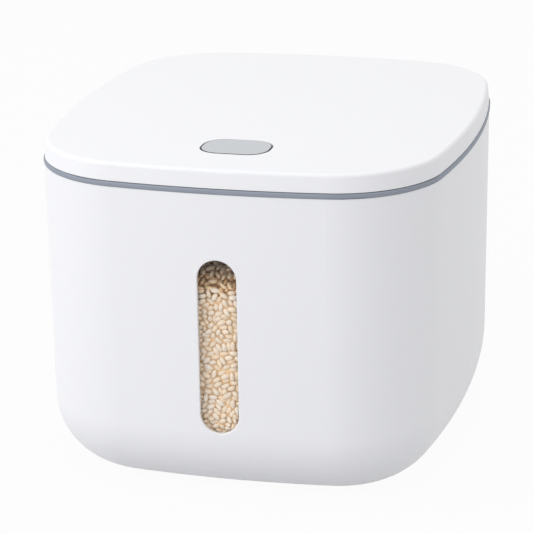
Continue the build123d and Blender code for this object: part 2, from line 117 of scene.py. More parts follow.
# Screws of the liner: the cross and the round of a head are shares of its radius or height
SCREW_RADIUS = 1.5 * MM
SCREW_SIDES = 24
SCREW_HEAD_RADIUS = 2.8 * MM
SCREW_HEAD_HEIGHT = 2.2 * MM
SCREW_HEAD_SIDES = 32
HEAD_ROUND = 0.45
HEAD_ROUND_STEPS = 4
CROSS_LENGTH = 1.15
CROSS_WIDTH = 0.24
CROSS_HEIGHT = 1.2
SCREW_MARGIN = 32.0 * MM
SIDE_SCREW_MARGIN = 24.0 * MM
SCREW_SMOOTHING = radians(35)
DOWNWARDS = -0.9

# Shape of a grain: its thickness is a share of its width, one end is thicker, and it is bent
GRAIN_FLATNESS = 0.72
GRAIN_BLUNTNESS = 0.06
GRAIN_SWELL = 0.10
GRAIN_BEND = 0.10
GRAIN_SIZES = (0.9, 1.06)

# Settling: a ball's share of the grain's width, the share of an overlap that a push takes up, and the fall
# of a grain in each round
BALL = 0.92
PUSH = 0.4
SINK = 0.02 * MM

# Grains at the window: half the layer's width, its depth, and how far it goes below the pane and over the
# level. The ways are how much the first directions spread along each axis.
WINDOW_REACH = 15.0 * MM
WINDOW_DEPTH = 3.8 * MM
WINDOW_BELOW = 2.0 * MM
WINDOW_OVER = 1.5 * MM
WINDOW_PACKING = 0.423
WINDOW_WAYS = (1.0, 0.2, 0.5)
WINDOW_LEAN = (1, 0.75, 0.985)
WINDOW_ROUNDS = 140
WINDOW_PRESS = (0, 5, 0)
# Painted shade: grains further behind the pane are painted amber, beginning at this depth and full after
# this much more
WINDOW_SHADE_START = 1.6 * MM
WINDOW_SHADE_DEPTH = 3.0 * MM

# Bed under the top grains, painted amber all over by its shade value as painted shade
BED_GAP = 1.5 * MM
BED_DROP = 5.5 * MM
BED_BEHIND_PANE = 2.3 * MM
BED_POINTS = 96
BED_ROUND_STEPS = 8
BED_SHARES = (0.97, 0.92, 0.85, 0.75, 0.6, 0.45, 0.3, 0.15)
BED_SHADE = 0.85

# Grains on top
TOP_DRAWS = 8000
TOP_BEHIND_PANE = 2.0 * MM
TOP_DROP = 3.5 * MM
TOP_START_DEPTH = 4.0 * MM
TOP_DEPTH = 4.5 * MM
TOP_HALF = 0.4
TOP_MARGIN = 1.2 * MM
TOP_WAYS = (1, 1, 0.25)
TOP_LEAN = (1, 1, 0.75)
TOP_ROUNDS = 25
TOP_BANDS = 3
# Painted shade: top grains are painted more amber the lower they lie under the level, and more still near
# the pane, up to a most
TOP_SHADE = 0.3
TOP_SHADE_DEPTH = 6.0 * MM
TOP_SHADE_MOST = 0.9
FRONT_SHADE = 0.5
FRONT_SHADE_REACH = 25.0 * MM

# Studio: where each lamp stands and how wide it is, and what the camera sees of the floor and the backdrop
LAMPS = {
    "key": ((-1.5, -1.1, 1.15), 1.3),
    "top": ((-0.1, 0.1, 1.7), 1.4),
    "front": ((-0.3, -1.7, 0.95), 0.9),
    "side": ((1.3, -1.3, 0.7), 1.0),
}
FLOOR_SIZE = 8.0
FLOOR_GREY = (0.6, 0.6, 0.61, 1)
FLOOR_WHITENESS = 0.95
WHITE = (1, 1, 1, 1)
BACKDROP_WHITE = (0.98, 0.98, 0.98, 1)


class BucketFinish(bpy.types.PropertyGroup):
    """Colours and gloss of the bucket's own pieces."""

    shell: FloatVectorProperty(
        name="Shell", description="Moulded bucket and lid", subtype="COLOR",
        default=(0.90, 0.903, 0.93), min=0, max=1)
    shell_gloss: FloatProperty(
        name="Shell roughness", description="Satin of the moulded shells", subtype="FACTOR",
        default=0.36, min=0, max=1)
    seal: FloatVectorProperty(
        name="Seal", description="Silicone band between bucket and lid", subtype="COLOR",
        default=(0.29, 0.32, 0.38), min=0, max=1)
    button: FloatVectorProperty(
        name="Button", description="Moulded press button", subtype="COLOR",
        default=(0.52, 0.54, 0.57), min=0, max=1)
    latch: FloatVectorProperty(
        name="Latch", description="Slider and its plate", subtype="COLOR",
        default=(0.70, 0.71, 0.72), min=0, max=1)
    steel: FloatVectorProperty(
        name="Steel", description="Pin, clip, screws and springs", subtype="COLOR",
        default=(0.56, 0.56, 0.57), min=0, max=1)
    pane_gloss: FloatProperty(
        name="Pane gloss", description="Share of the light that each face of the pane throws back head on",
        subtype="FACTOR", default=0.010, min=0, max=1)


class RiceFill(bpy.types.PropertyGroup):
    """Size, colour and level of the rice."""

    level: FloatProperty(
        name="Level", description="Height of the rice at the window", unit="LENGTH", default=117 * MM)
    repose: FloatProperty(
        name="Repose", description="Slope of the heap at the walls", subtype="ANGLE", default=radians(38))
    heap: FloatProperty(
        name="Heap", description="How far the heap stands over the level", unit="LENGTH", default=34 * MM)
    length: FloatProperty(
        name="Grain length", description="Long way of a grain", unit="LENGTH", default=5.7 * MM)
    width: FloatProperty(
        name="Grain width", description="Short way of a grain", unit="LENGTH", default=3.0 * MM)
    cream: FloatVectorProperty(
        name="Cream", description="Body of a grain", subtype="COLOR",
        default=(1.0, 0.83, 0.64), min=0, max=1)
    chalk: FloatVectorProperty(
        name="Chalk", description="Palest grains", subtype="COLOR",
        default=(1.0, 0.90, 0.79), min=0, max=1)
    # Painted shade: the amber that grains and the bed are painted where they lie deep, low or near the
    # front wall
    painted_shade_amber: FloatVectorProperty(
        name="Amber", description="Grains deep between the others", subtype="COLOR",
        default=(1.0, 0.69, 0.37), min=0, max=1)
    seed: IntProperty(name="Seed", description="Start of the random draws", default=7)


class StudioLook(bpy.types.PropertyGroup):
    """Camera and lights."""

    azimuth: FloatProperty(
        name="Azimuth", description="Camera's turn to the right of the front", subtype="ANGLE",
        default=radians(14.2691))
    elevation: FloatProperty(
        name="Elevation", description="Camera's angle above the horizon", subtype="ANGLE",
        default=radians(18.5182))
    distance: FloatProperty(
        name="Distance", description="From the camera to the middle", unit="LENGTH", default=1.34647)
    middle: FloatProperty(
        name="Middle", description="Height that the camera circles", unit="LENGTH", default=0.092)
    focus_pixels: FloatProperty(
        name="Focal length", description="In pixels of the photograph's frame", default=2344.0)
    pan: FloatProperty(
        name="Pan", description="Turn of the view to the right", subtype="ANGLE", default=radians(-0.2647))
    tilt: FloatProperty(
        name="Tilt", description="Turn of the view upwards", subtype="ANGLE", default=radians(-0.0396))
    roll: FloatProperty(
        name="Roll", description="Turn of the picture", subtype="ANGLE", default=radians(-0.8738))
    fill: FloatProperty(name="Fill", description="Strength of the even light", default=0.89)
    key: FloatProperty(name="Key", description="Power of the large left light", default=17.0, unit="POWER")
    top: FloatProperty(name="Top", description="Power of the light over the lid", default=3.2, unit="POWER")
    front: FloatProperty(name="Front", description="Power of the front light", default=1.2, unit="POWER")
    side: FloatProperty(name="Side", description="Power of the weak right light", default=2.2, unit="POWER")


class Signal:
    """A shader value that takes part in Python sums: each operator adds one Math node."""

    def __init__(self, look, socket):
        self.look = look
        self.socket = socket

    def math(self, operation, first, second):
        return self.look.signal("ShaderNodeMath", {"operation": operation}, {0: first, 1: second})

    def __add__(self, other):
        return self.math("ADD", self, other)

    def __sub__(self, other):
        return self.math("SUBTRACT", self, other)

    def __rsub__(self, other):
        return self.math("SUBTRACT", other, self)

    def __mul__(self, other):
        return self.math("MULTIPLY", self, other)

    __radd__ = __add__
    __rmul__ = __mul__

    def sway(self, amount):
        """Noise as a change to both sides of nothing, by half the amount at most."""
        return (self - 0.5) * amount

    def ramp(self, start, end):
        """Nothing up to the start, one from the end on, and an even rise between them."""
        clamped = {"operation": "MULTIPLY", "use_clamp": True}
        return self.look.signal("ShaderNodeMath", clamped, {0: self - start, 1: 1 / (end - start)})


class Look:
    """The nodes of a material or a world."""

    def __init__(self, owner, output="ShaderNodeOutputMaterial"):
        owner.use_nodes = True
        self.owner = owner
        self.tree = owner.node_tree
        self.tree.nodes.clear()
        self.output = self.node(output)

    def node(self, kind, settings=None, values=None):
        """Adds a node with its settings, then gives its sockets their values or links."""
        node = self.tree.nodes.new(kind)
        for name, value in (settings or {}).items():
            setattr(node, name, value)
        for name, value in (values or {}).items():
            if isinstance(value, Signal):
                self.tree.links.new(value.socket, node.inputs[name])
            else:
                node.inputs[name].default_value = value
        return node

    def signal(self, kind, settings=None, values=None, output=0):
        """Adds a node and gives one of its outputs."""
        return Signal(self, self.node(kind, settings, values).outputs[output])

    def place(self):
        """Where a point lies in the object's own frame."""
        return self.signal("ShaderNodeTexCoord", output="Object")

    def noise(self, scale, detail, stretch=(1, 1, 1)):
        """Noise with so many features to the metre, drawn out along the axes by the stretch."""
        turned = self.signal("ShaderNodeMapping", None, {"Vector": self.place(), "Scale": stretch})
        return self.signal("ShaderNodeTexNoise", None, {"Vector": turned, "Scale": scale, "Detail": detail})

    def mix(self, amount, first, second):
        """Colour between two colours."""
        return self.signal("ShaderNodeMix", {"data_type": "RGBA"}, {0: amount, 6: first, 7: second}, 2)

    def blend(self, amount, first, second):
        """Shader between two shaders."""
        return self.signal("ShaderNodeMixShader", None, {0: amount, 1: first, 2: second})

    def bump(self, height, depth, strength):
        """Normal of a surface whose height goes up and down by the depth."""
        return self.signal("ShaderNodeBump", None, {
            "Height": height, "Distance": depth, "Strength": strength})

    def seen(self):
        """One for what the camera sees, straight, mirrored or through glass, nothing for other light."""
        ray = self.node("ShaderNodeLightPath").outputs
        seen = Signal(self, ray["Is Camera Ray"])
        for kind in ("Is Glossy Ray", "Is Transmission Ray"):
            seen = seen.math("MAXIMUM", seen, Signal(self, ray[kind]))
        return seen

    def finish(self, shader):
        """Ends the nodes in a shader, and gives the material or world that they belong to."""
        self.tree.links.new(shader.socket, self.output.inputs["Surface"])
        return self.owner

    def surface(self, values):
        """Ends the nodes in a Principled shader with these socket values."""
        return self.finish(self.signal("ShaderNodeBsdfPrincipled", None, values))


def new_look(name):
    """A new material without any nodes but its output."""
    return Look(bpy.data.materials.new(name))


def opaque(colour, share=1.0):
    """A colour with its alpha: darker where the share is under one, and paler over it."""
    return (colour[0] * share, colour[1] * share, colour[2] * share, 1.0)


def satin(look, colour, roughness, grain_depth):
    """Socket values of moulded plastic: an even colour with a faint cloud, and a finely grained gloss."""
    cloud = look.noise(scale=9.0, detail=3.0)
    grain = look.noise(scale=2600.0, detail=1.0)
    return {
        "Base Color": look.mix(cloud, opaque(colour, share=0.985), opaque(colour)),
        "Roughness": cloud.sway(0.05) + grain.sway(0.06) + roughness,
        "Normal": look.bump(grain, grain_depth, strength=0.25),
    }


def moulded_plastic(name, colour, roughness, grain_depth):
    """Satin moulded plastic."""
    look = new_look(name)
    return look.surface(satin(look, colour, roughness, grain_depth))


def button_plastic(name, colour, top):
    """Plastic of the button: paler along its top edge as a painted highlight, and dark down in the gap as
    painted shade.
    """
    look = new_look(name)
    values = satin(look, colour, roughness=0.34, grain_depth=0.03 * MM)
    height = look.signal("ShaderNodeSeparateXYZ", None, {0: look.place()}, "Z")
    drop = (top - height) * (1 / MM)
    # painted highlight: paler along the round of the top edge
    edge = look.mix(drop.ramp(*PAINTED_EDGE_HIGHLIGHT), values["Base Color"], opaque(colour, share=1.3))
    # painted shade: nearly black down the sides, in the gap round the button
    values["Base Color"] = look.mix(drop.ramp(*PAINTED_GAP_SHADE), edge, opaque(colour, share=0.08))
    return look.surface(values)


def silicone(name, colour):
    """Matte silicone rubber with a soft bloom on it."""
    look = new_look(name)
    bloom = look.noise(scale=60.0, detail=3.0)
    grain = look.noise(scale=3200.0, detail=1.0)
    return look.surface({
        "Base Color": look.mix(bloom, opaque(colour, share=0.93), opaque(colour)),
        "Roughness": bloom.sway(0.12) + 0.52,
        "Normal": look.bump(grain, depth=0.02 * MM, strength=0.3),
    })


def drawn_steel(name, colour, stretch):
    """Bright steel with fine drawing lines along one way."""
    look = new_look(name)
    lines = look.noise(scale=1400.0, detail=2.0, stretch=stretch)
    return look.surface({
        "Base Color": look.mix(lines, opaque(colour, share=0.86), opaque(colour)),
        "Metallic": 1.0,
        "Roughness": lines * 0.16 + 0.2,
        "Normal": look.bump(lines, depth=0.01 * MM, strength=0.2),
    })


def clear_plastic(name, head_on):
    """Thin clear pane: light goes straight through, apart from its reflection."""
    look = new_look(name)
    haze = look.noise(scale=70.0, detail=3.0)
    gloss = look.signal("ShaderNodeBsdfGlossy", None, {"Color": WHITE, "Roughness": haze * 0.02 + 0.03})
    through = look.signal("ShaderNodeBsdfTransparent", None, {"Color": (0.995, 0.995, 0.992, 1)})
    slant = look.signal("ShaderNodeLayerWeight", None, {"Blend": 0.5}, "Facing")
    square = slant * slant
    mirrored = square * square * slant * (1 - head_on) + head_on
    return look.finish(look.blend(mirrored, through, gloss))


def rice_look(name, fill):
    """Polished rice: each grain has its own tone, from cream to chalk, and painted shade turns it amber as
    far as its shade value goes.
    """
    look = new_look(name)
    tone, shade = (
        look.signal("ShaderNodeAttribute", {"attribute_name": label}, output="Fac")
        for label in ("tone", "shade"))
    streak = look.noise(scale=900.0, detail=2.0)
    body = look.mix(tone, opaque(fill.cream), opaque(fill.chalk))
    return look.surface({
        # painted shade: the shade value mixes each grain towards amber
        "Base Color": look.mix(shade, body, opaque(fill.painted_shade_amber)),
        "Roughness": streak * 0.12 + 0.36,
        "Sheen Weight": 0.6,
        "Sheen Roughness": 0.5,
        "Sheen Tint": (1.0, 0.9, 0.78, 1),
        "Normal": look.bump(streak, depth=0.05 * MM, strength=0.3),
    })


def wear(node, material):
    """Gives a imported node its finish."""
    slots = frame["nodes"][node].data.materials
    slots.clear()
    slots.append(material)


def deselect():
    """Leaves nothing selected, in object mode."""
    if bpy.context.object and bpy.context.object.mode != "OBJECT":
        bpy.ops.object.mode_set(mode="OBJECT")
    bpy.ops.object.select_all(action="DESELECT")


def settle(piece, name, material):
    """Puts a new piece's place into its mesh, names it and gives it its finish."""
    deselect()
    piece.select_set(True)
    bpy.context.view_layer.objects.active = piece
    bpy.ops.object.transform_apply(location=True, rotation=True, scale=True)
    piece.name = name
    piece.data.name = name
    piece.data.materials.clear()
    piece.data.materials.append(material)
    return piece


def wind(axis, radius, wire, turns, first, last, centre, start_leg, end_leg):
    """A coil of round wire about an axis through the centre, from a first to a last place along it.

    Each end has a straight leg, if it isn't NO_LEG, and is closed.
    """
    deselect()
    bpy.ops.mesh.primitive_circle_add(vertices=WIRE_SIDES, radius=wire / 2)
    coil = bpy.context.object
    bpy.ops.object.mode_set(mode="EDIT")
    bpy.ops.mesh.select_all(action="SELECT")
    out = (first, radius, 0) if axis == "X" else (radius, first, 0)
    bpy.ops.transform.translate(value=out)
    bpy.ops.object.mode_set(mode="OBJECT")
    coil.location = centre
    screw = coil.modifiers.new("turns", "SCREW")
    screw.axis = axis
    screw.angle = 2 * pi * turns
    screw.screw_offset = last - first
    screw.steps = screw.render_steps = round(TURN_STEPS * turns)
    screw.use_merge_vertices = False
    bpy.ops.object.modifier_apply(modifier="turns")
    points = len(coil.data.vertices)
    ends = ((range(WIRE_SIDES), start_leg), (range(points - WIRE_SIDES, points), end_leg))
    for chosen, leg in ends:
        bpy.ops.object.mode_set(mode="EDIT")
        bpy.ops.mesh.select_mode(type="VERT")
        bpy.ops.mesh.select_all(action="DESELECT")
        bpy.ops.object.mode_set(mode="OBJECT")
        for i in chosen:
            coil.data.vertices[i].select = True
        bpy.ops.object.mode_set(mode="EDIT")
        if any(leg):
            bpy.ops.mesh.extrude_region_move(TRANSFORM_OT_translate={"value": leg})
        bpy.ops.mesh.edge_face_add()
        bpy.ops.object.mode_set(mode="OBJECT")
    bpy.ops.object.mode_set(mode="EDIT")
    bpy.ops.mesh.select_all(action="SELECT")
    bpy.ops.mesh.normals_make_consistent(inside=False)
    bpy.ops.object.mode_set(mode="OBJECT")
    bpy.ops.object.shade_smooth_by_angle(angle=COIL_SMOOTHING)
    return coil


def plan_centres():
    """Middles of the side wall, the end wall and the round corner in the first quarter of the plan."""
    side = np.array([HALF_WIDTH - BOW_RADIUS, 0.0])
    end = np.array([0.0, HALF_DEPTH - BOW_RADIUS])
    reach = BOW_RADIUS - CORNER_RADIUS
    chord = end - side
    length = np.hypot(*chord)
    rise = np.sqrt(reach**2 - length**2 / 4)
    across = np.array([-chord[1], chord[0]]) / length
    return side, end, (side + end) / 2 + across * rise


def outside_by(points):
    """How far points of the plan lie outside the bucket's outer wall; less than nothing inside."""
    side, end, corner = plan_centres()
    spot = np.abs(points[:, :2])
    to_side = np.hypot(*(spot - side).T) - BOW_RADIUS
    to_end = np.hypot(*(spot - end).T) - BOW_RADIUS
    away = spot - corner
    along_side = corner - side
    along_end = corner - end
    past_side = along_side[0] * away[:, 1] - along_side[1] * away[:, 0] > 0
    past_end = along_end[0] * away[:, 1] - along_end[1] * away[:, 0] < 0
    rounded = np.hypot(*away.T) - CORNER_RADIUS
    return np.where(past_side & past_end, rounded, np.maximum(to_side, to_end))


def plan_ring(inset, height, count):
    """Points round the bucket's plan, drawn in evenly, at a height."""
    angles = np.linspace(0, 2 * pi, count, endpoint=False)
    ways = np.column_stack([np.cos(angles), np.sin(angles)])
    near = np.zeros(count)
    far = np.full(count, HALF_WIDTH + HALF_DEPTH)
    for _ in range(HALVINGS):
        middle = (near + far) / 2
        inside = outside_by(ways * middle[:, None]) < -inset
        near = np.where(inside, middle, near)
        far = np.where(inside, far, middle)
    return np.column_stack([ways * near[:, None], np.full(count, height)])


def mound(points, fill):
    """How far the heap stands over the level at points of the plan: it slopes up from the walls."""
    inside = np.maximum(0, -outside_by(points) - WALL)
    return fill.heap * (1 - np.exp(-inside * tan(fill.repose) / fill.heap))


def unit(ways):
    """Directions made one long."""
    return ways / np.linalg.norm(ways, axis=1)[:, None]


def grain_shape(fill, segments, rings):
    """One grain, modelled at the origin along X: points and faces. The object is deleted again."""
    deselect()
    bpy.ops.mesh.primitive_uv_sphere_add(
        segments=segments, ring_count=rings, radius=0.5, rotation=(0, pi / 2, 0))
    grain = bpy.context.object
    bpy.ops.object.transform_apply(location=False, rotation=True, scale=False)
    bpy.ops.object.mode_set(mode="EDIT")
    bpy.ops.mesh.select_all(action="SELECT")
    bpy.ops.transform.resize(value=(fill.length, fill.width, fill.width * GRAIN_FLATNESS))
    bpy.ops.object.mode_set(mode="OBJECT")
    points = np.array([v.co for v in grain.data.vertices])
    along = points[:, 0] / (fill.length / 2)
    points[:, 0] *= 1 - GRAIN_BLUNTNESS * along**2
    points[:, 1:] *= (1 + GRAIN_SWELL * (1 - along**2) * np.sign(along) * np.abs(along))[:, None]
    points[:, 2] += GRAIN_BEND * fill.width * (0.5 - along**2)
    faces = [list(p.vertices) for p in grain.data.polygons]
    mesh = grain.data
    bpy.data.objects.remove(grain)
    bpy.data.meshes.remove(mesh)
    return points, faces


def grain_balls(places, ways, fill):
    """Three balls along each grain, for pushing grains apart, and how far along it each one lies."""
    offset = (fill.length - fill.width) / 2
    steps = np.array([-offset, 0.0, offset])
    return places[:, None, :] + ways[:, None, :] * steps[None, :, None], steps


def push_apart(places, ways, fill, rounds, keep_in, order_axis, lean):
    """Moves and turns grains until they hardly overlap, kept in by the function.

    The lean is what each round leaves of a grain's direction along each axis, so grains lie down in time.
    """
    size = fill.width * BALL
    for _ in range(rounds):
        balls, steps = grain_balls(places, ways, fill)
        flat = balls.reshape(-1, 3)
        owner = np.repeat(np.arange(len(places)), len(steps))
        order = np.argsort(flat[:, order_axis], kind="stable")
        spot = flat[order]
        own = owner[order]
        moved = np.zeros_like(flat)
        shift = 1
        while shift < len(spot):
            gap = spot[shift:] - spot[:-shift]
            if gap[:, order_axis].min() > size:
                break
            apart = np.sqrt((gap**2).sum(1)) + TINY
            hit = np.nonzero((apart < size) & (own[shift:] != own[:-shift]))[0]
            push = gap[hit] * ((size - apart[hit]) / apart[hit] * PUSH)[:, None]
            np.add.at(moved, order[hit + shift], push)
            np.add.at(moved, order[hit], -push)
            shift += 1
        moved = moved.reshape(balls.shape)
        places = places + moved.mean(1)
        turned = ways + (moved * steps[None, :, None]).sum(1) / (steps**2).sum()
        ways = unit(turned * lean)
        places = places + keep_in(grain_balls(places, ways, fill)[0])
    return places, ways


def rice_piece(name, points, faces, tone, shade, smooth, look):
    """A mesh of rice in the bucket, with a tone and a value of painted shade at each point."""
    mesh = bpy.data.meshes.new(name)
    mesh.from_pydata(points.tolist(), [], faces)
    for label, values in (("tone", tone), ("shade", shade)):
        attribute = mesh.attributes.new(label, "FLOAT", "POINT")
        attribute.data.foreach_set("value", values.astype(np.float32))
    mesh.polygons.foreach_set("use_smooth", np.full(len(faces), smooth))
    mesh.update()
    piece = bpy.data.objects.new(name, mesh)
    bpy.context.scene.collection.objects.link(piece)
    piece.data.materials.append(look)
    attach(piece, "bucket")


def spread_grains(name, shape, places, ways, draws, shade, look, press=(0, 0, 0)):
    """One mesh of many grains, each with its own tone, roll and size.

    The press is a push from one side, which turns the flat sides of grains to it.
    """
    points, faces = shape
    count = len(places)
    side = unit(np.cross(ways, draws.normal(size=(count, 3)) + press))
    other = np.cross(ways, side)
    local = points[None] * draws.uniform(*GRAIN_SIZES, count)[:, None, None]
    world = (
        places[:, None, :] + local[..., 0:1] * ways[:, None, :]
        + local[..., 1:2] * side[:, None, :] + local[..., 2:3] * other[:, None, :])
    step = len(points)
    all_faces = [[i + k * step for i in face] for k in range(count) for face in faces]
    tone = draws.uniform(0, 1, count)
    rice_piece(
        name, world.reshape(-1, 3), all_faces, np.repeat(tone, step), np.repeat(shade, step), True, look)


class RICE_OT_shells(bpy.types.Operator):
    """Finishes the bucket, the lid and its liner as moulded plastic"""

    bl_idname = "rice.shells"
    bl_label = "Shells"

    def execute(self, context):
        finish = context.scene.bucket_finish
        white = moulded_plastic("white_plastic", finish.shell, finish.shell_gloss, grain_depth=0.03 * MM)
        for node in ("bucket", "lid_cover", "lid_liner"):
            wear(node, white)
        return {"FINISHED"}


class RICE_OT_seal(bpy.types.Operator):
    """Finishes the silicone band"""

    bl_idname = "rice.seal"
    bl_label = "Seal"

    def execute(self, context):
        wear("rim_seal", silicone("grey_silicone", context.scene.bucket_finish.seal))
        return {"FINISHED"}


class RICE_OT_pane(bpy.types.Operator):
    """Finishes the clear pane in the window"""

    bl_idname = "rice.pane"
    bl_label = "Pane"

    def execute(self, context):
        wear("window_pane", clear_plastic("clear_plastic", context.scene.bucket_finish.pane_gloss))
        return {"FINISHED"}


class RICE_OT_latch(bpy.types.Operator):
    """Finishes the button, the slider and its plate"""

    bl_idname = "rice.latch"
    bl_label = "Button and latch"

    def execute(self, context):
        finish = context.scene.bucket_finish
        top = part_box("release_button")[1].z
        wear("release_button", button_plastic("grey_plastic", finish.button, top))
        plain = moulded_plastic("latch_plastic", finish.latch, roughness=0.42, grain_depth=0.02 * MM)
        wear("latch_slider", plain)
        wear("latch_retainer", plain)
        return {"FINISHED"}


class RICE_OT_hardware(bpy.types.Operator):
    """Finishes the pin, its clip, the screws and the springs as steel"""

    bl_idname = "rice.hardware"
    bl_label = "Hardware"

    def execute(self, context):
        colour = context.scene.bucket_finish.steel
        along = drawn_steel("steel_pin", colour, stretch=(0.04, 1, 1))
        turned = drawn_steel("steel_turned", colour, stretch=(1, 1, 0.06))
        wire = drawn_steel("steel_wire", colour, stretch=(1, 0.3, 0.3))
        for node in ("hinge_pin", "pin_clip"):
            wear(node, along)
        for node in ("liner_screws", "retainer_screws"):
            wear(node, turned)
        for node in ("latch_spring", "hinge_spring_left", "hinge_spring_right"):
            wear(node, wire)
        self.hinge_springs(wire)
        self.latch_spring(wire)
        self.screws(turned)
        return {"FINISHED"}

    def hinge_springs(self, wire):
        """Torsion springs about the hinge pin: the inner leg points down, and the outer leg points forward
        along the lid.
        """
        low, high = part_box("hinge_pin")
        pin = (low + high) / 2
        for node, side in (("hinge_spring_left", -1), ("hinge_spring_right", 1)):
            ends = sorted((corner.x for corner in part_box(node)), key=abs)
            first = ends[0] + side * HINGE_WIRE / 2
            last = ends[1] - side * HINGE_WIRE / 2
            coil = wind(
                "X", HINGE_COIL, HINGE_WIRE, HINGE_TURNS, first, last, (0, pin.y, pin.z),
                (0, 0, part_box(node)[0].z - pin.z), (0, -LID_LEG, 0))
            piece = settle(coil, node + "_wound", wire)
            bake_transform(piece)
            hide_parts(node)

    def latch_spring(self, wire):
        """Spring behind the slider, carried with the lid."""
        low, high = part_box("latch_spring")
        middle = (low + high) / 2
        first, last = low.y + LATCH_WIRE / 2, high.y - LATCH_WIRE / 2
        coil = wind(
            "Y", LATCH_COIL, LATCH_WIRE, LATCH_TURNS, first, last, (middle.x, 0, middle.z),
            NO_LEG, NO_LEG)
        piece = settle(coil, "latch_spring_wound", wire)
        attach(piece, "lid")
        travel = next(j["range_m"][1] for j in frame["joints"] if j["name"] == "latch_slide")
        1 - travel / (high.y - low.y)
        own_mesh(piece)
        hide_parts("latch_spring")

    def screws(self, turned):
        """Pan-head screws with a cross in each head, up through the liner."""
        low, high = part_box("liner_screws")
        head = SCREW_HEAD_HEIGHT
        deselect()
        bpy.ops.mesh.primitive_cylinder_add(
            vertices=SCREW_HEAD_SIDES, radius=SCREW_HEAD_RADIUS, depth=head,
            location=(0, 0, low.z + head / 2))
        screw = bpy.context.object
        bpy.ops.object.mode_set(mode="EDIT")
        bpy.ops.mesh.select_all(action="DESELECT")
        bpy.ops.object.mode_set(mode="OBJECT")
        for face in screw.data.polygons:
            face.select = face.normal.z < DOWNWARDS
        bpy.ops.object.mode_set(mode="EDIT")
        bpy.ops.mesh.select_mode(type="FACE")
        bpy.ops.mesh.bevel(offset=head * HEAD_ROUND, segments=HEAD_ROUND_STEPS, affect="EDGES")
        bpy.ops.object.mode_set(mode="OBJECT")
        for turn in (0, pi / 2):
            bpy.ops.mesh.primitive_cube_add(size=1, location=(0, 0, low.z), rotation=(0, 0, turn))
            bit = bpy.context.object
            bit.scale = (
                SCREW_HEAD_RADIUS * CROSS_LENGTH, SCREW_HEAD_RADIUS * CROSS_WIDTH, head * CROSS_HEIGHT)
            cut = screw.modifiers.new("cross", "BOOLEAN")
            cut.operation = "DIFFERENCE"
            cut.object = bit
            deselect()
            bpy.context.view_layer.objects.active = screw
            bpy.ops.object.modifier_apply(modifier="cross")
            bpy.data.objects.remove(bit)
        bpy.ops.mesh.primitive_cylinder_add(
            vertices=SCREW_SIDES, radius=SCREW_RADIUS, depth=high.z - low.z - head,
            location=(0, 0, (low.z + head + high.z) / 2))
        shank = bpy.context.object
        deselect()
        shank.select_set(True)
        screw.select_set(True)
        bpy.context.view_layer.objects.active = screw
        bpy.ops.object.join()
        bpy.ops.object.transform_apply(location=True, rotation=True, scale=True)
        bpy.ops.object.shade_smooth_by_angle(angle=SCREW_SMOOTHING)
        side = HALF_WIDTH - SIDE_SCREW_MARGIN
        corner = (HALF_WIDTH - SCREW_MARGIN, HALF_DEPTH - SCREW_MARGIN)
        places = [(x * corner[0], y * corner[1]) for x in (-1, 1) for y in (-1, 1)]
        places += [(-side, 0), (side, 0)]
        copies = []
        for x, y in places:
            copy = screw.copy()
            copy.data = screw.data.copy()
            copy.location = (x, y, screw.location.z)
            bpy.context.scene.collection.objects.link(copy)
            copies.append(copy)
        bpy.data.objects.remove(screw)
        deselect()
        for copy in copies:
            copy.select_set(True)
        bpy.context.view_layer.objects.active = copies[0]
        bpy.ops.object.join()
        piece = settle(copies[0], "liner_screws_crossed", turned)
        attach(piece, "lid")
        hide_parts("liner_screws")


class RICE_OT_window_rice(bpy.types.Operator):
    """Packs grains behind the window, up to the level"""

    bl_idname = "rice.window_rice"
    bl_label = "Rice at the window"

    def execute(self, context):
        fill = context.scene.rice_fill
        draws = np.random.default_rng(fill.seed)
        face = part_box("window_pane")[1].y
        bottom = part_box("window_pane")[0].z - WINDOW_BELOW
        volume = 2 * WINDOW_REACH * (fill.level - bottom) * WINDOW_DEPTH
        grain_volume = pi / 6 * fill.length * fill.width**2 * GRAIN_FLATNESS
        count = int(volume / grain_volume * WINDOW_PACKING)
        low = np.array([-WINDOW_REACH, face, bottom])
        high = np.array([WINDOW_REACH, face + WINDOW_DEPTH, fill.level + WINDOW_OVER])
        places = draws.uniform(low, high, (count, 3))
        ways = unit(draws.normal(size=(count, 3)) * WINDOW_WAYS)
        half = fill.width * (BALL / 2)

        def keep_in(balls):
            under = np.maximum(0, low + half - balls).max(1)
            over = np.maximum(0, balls - (high - half)).max(1)
            over[:, 2] = SINK
            return under - over

        places, ways = push_apart(
            places, ways, fill, WINDOW_ROUNDS, keep_in, order_axis=2, lean=WINDOW_LEAN)
        # painted shade: amber grows with the depth behind the pane
        shade = np.clip((places[:, 1] - face - WINDOW_SHADE_START) / WINDOW_SHADE_DEPTH, 0, 1)
        spread_grains(
            "rice_at_window", grain_shape(fill, segments=8, rings=6), places, ways, draws, shade,
            rice_look("rice_grains", fill), WINDOW_PRESS)
        return {"FINISHED"}


